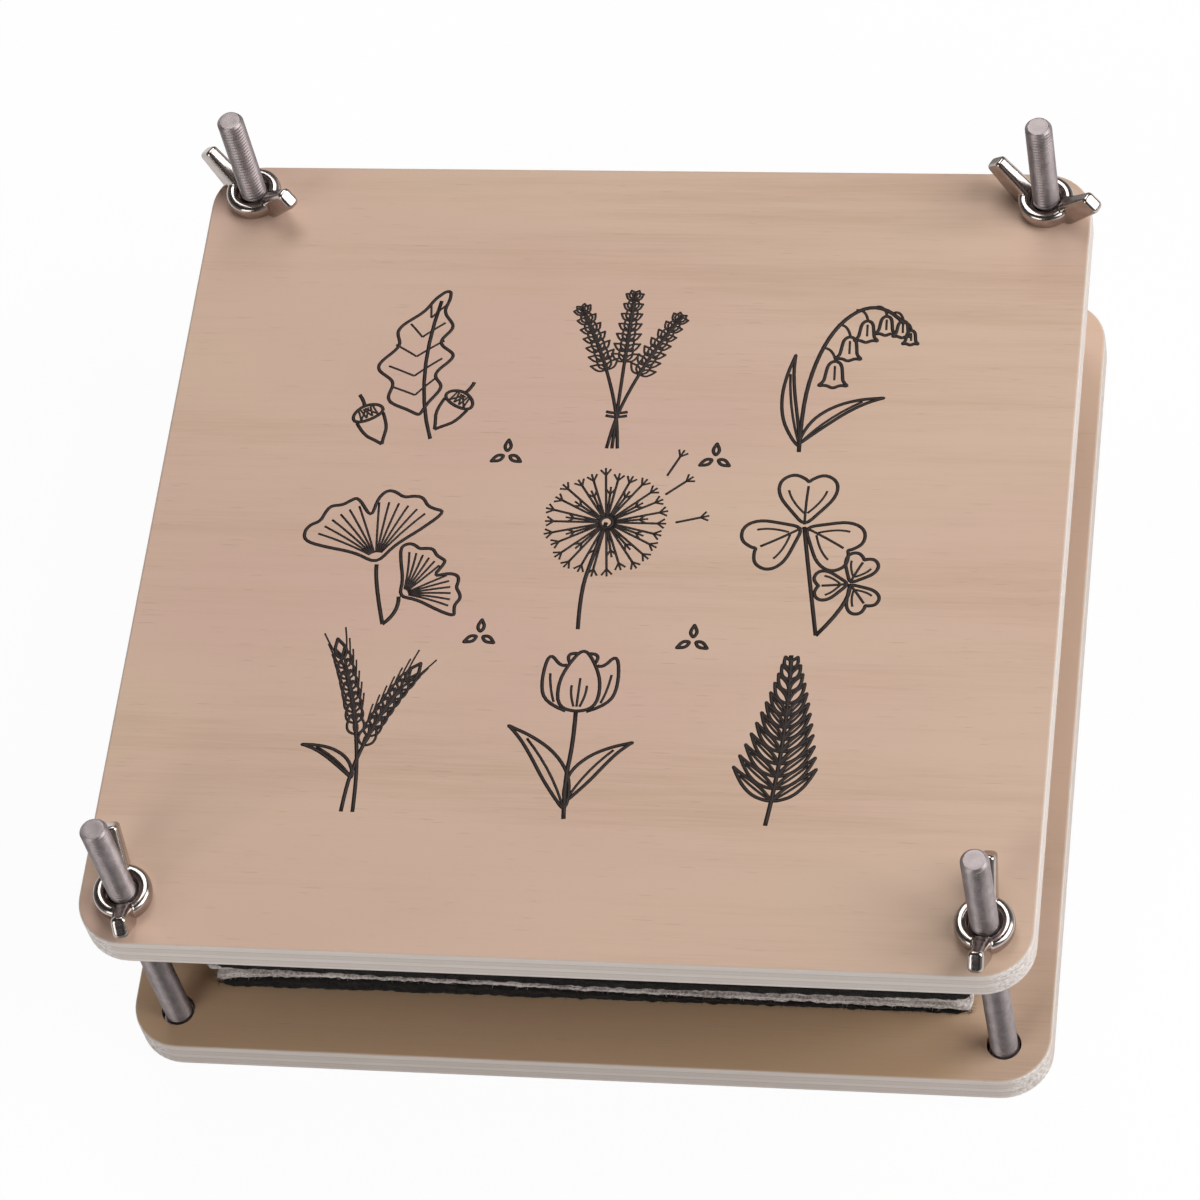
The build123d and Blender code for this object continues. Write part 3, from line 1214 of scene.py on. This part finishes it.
class PRESS_OT_stage(Operator):
    """Sets the floor, the lights, the room and the camera"""

    bl_idname = "press.stage"
    bl_label = "Set the stage"

    def execute(self, context):
        looks = context.scene.press_looks.stage
        self.lay_floor(looks)
        self.light_room(context, looks)
        for setting, place, side in LIGHTS:
            self.hang_light(setting + "_light", place, side, getattr(looks, setting))
        self.set_camera(context, looks)
        return {"FINISHED"}

    def lay_floor(self, looks):
        """A floor that looks white, but in metal shines white only beside the press."""
        clear_selection()
        bpy.ops.mesh.primitive_plane_add(size=8, location=(0, 0, -0.1 * MM))
        floor = bpy.context.object
        floor.name = "floor"
        white = Finish("white_floor", {"Roughness": 0.9, "Base Color": (*looks.floor, 1)})
        seen, mirrored = white.rays()
        across = white.axes()[0]
        right = across.ramp(BOARD_HALF, BOARD_HALF + 30 * MM)
        left = (-1 * across).ramp(BOARD_HALF, BOARD_HALF + 40 * MM)
        sides = right + left * 0.8
        shine = white.blend(sides, (looks.dim,) * 3, (1.2, 1.2, 1.2))
        glow = white.node("ShaderNodeEmission", None, {"Color": white.blend(seen, shine, (1, 1, 1))})
        base = Value(white, white.shader.outputs[0])
        lifted = seen * looks.floor_glow + mirrored
        mixed = white.node("ShaderNodeMixShader", None, {0: lifted, 1: base, 2: glow})
        white.tree.links.new(mixed.socket, white.tree.nodes["Material Output"].inputs["Surface"])
        floor.data.materials.append(white.material)

    def light_room(self, context, looks):
        """A white room whose light is stronger on the right. In metal its lower half shines on the
        right, less at the back and on the left, and stays dim in front and overhead."""
        room = Room("room")
        context.scene.world = room.world
        right, back, up = room.axes()
        ambient = (right.ramp(-0.9, 0.9) + 0.25) * looks.room
        left = (-1 * right).ramp(0.2, 0.8)
        walls = right.ramp(0.15, 0.6) * 1.5 + back.ramp(0.1, 0.7) * 0.7 + left * 0.8
        shine = ((1 - up.ramp(0.45, 0.65)) * walls + looks.dim) * looks.gleam
        seen, mirrored = room.rays()
        room.feed(Strength=seen + mirrored * shine + (1 - seen - mirrored) * ambient)

    def hang_light(self, name, place, size, power):
        clear_selection()
        bpy.ops.object.light_add(type="AREA", location=place)
        light = bpy.context.object
        light.name = name
        light.data.size = size
        light.data.energy = power
        light.rotation_euler = (-Vector(place)).to_track_quat("-Z", "Y").to_euler()

    def set_camera(self, context, looks):
        clear_selection()
        bpy.ops.object.camera_add()
        camera = context.object
        turn = (
            Matrix.Rotation(looks.azimuth, 4, "Z")
            @ Matrix.Rotation(pi / 2 - looks.elevation, 4, "X")
            @ Matrix.Rotation(looks.roll, 4, "Z")
        )
        target = Vector((*middle_of("top_board"), PRINT_LEVEL))
        eye = turn @ Vector((looks.aside, looks.down, looks.distance))
        camera.matrix_world = Matrix.Translation(target + eye) @ turn
        camera.data.sensor_width = 36
        camera.data.lens = looks.lens
        camera.data.clip_start = 0.01
        context.scene.camera = camera
        context.scene.view_settings.view_transform = "Standard"


class PRESS_PT_panel(Panel):
    """Steps that dress the press, in order"""

    bl_label = "Flower press"
    bl_idname = "PRESS_PT_panel"
    bl_space_type = "VIEW_3D"
    bl_region_type = "UI"
    bl_category = "Flower press"

    def draw(self, context):
        for operator in OPERATORS:
            self.layout.operator(operator.bl_idname)


GROUPS = (BoardLooks, MetalLooks, StackLooks, PrintLooks, StageLooks, PressLooks)
OPERATORS = (
    PRESS_OT_boards,
    PRESS_OT_bolts,
    PRESS_OT_wing_nuts,
    PRESS_OT_pads,
    PRESS_OT_sheets,
    PRESS_OT_print_work,
    PRESS_OT_stage,
)


def register():
    for item in (*GROUPS, *OPERATORS, PRESS_PT_panel):
        bpy.utils.register_class(item)
    bpy.types.Scene.press_looks = PointerProperty(type=PressLooks)


def unregister():
    del bpy.types.Scene.press_looks
    for item in reversed((*GROUPS, *OPERATORS, PRESS_PT_panel)):
        bpy.utils.unregister_class(item)


def main():
    register()
    bpy.ops.press.boards()
    bpy.ops.press.bolts()
    bpy.ops.press.wing_nuts()
    bpy.ops.press.pads()
    bpy.ops.press.sheets()
    bpy.ops.press.print_work()
    bpy.ops.press.stage()


if __name__ == "__main__":
    main()
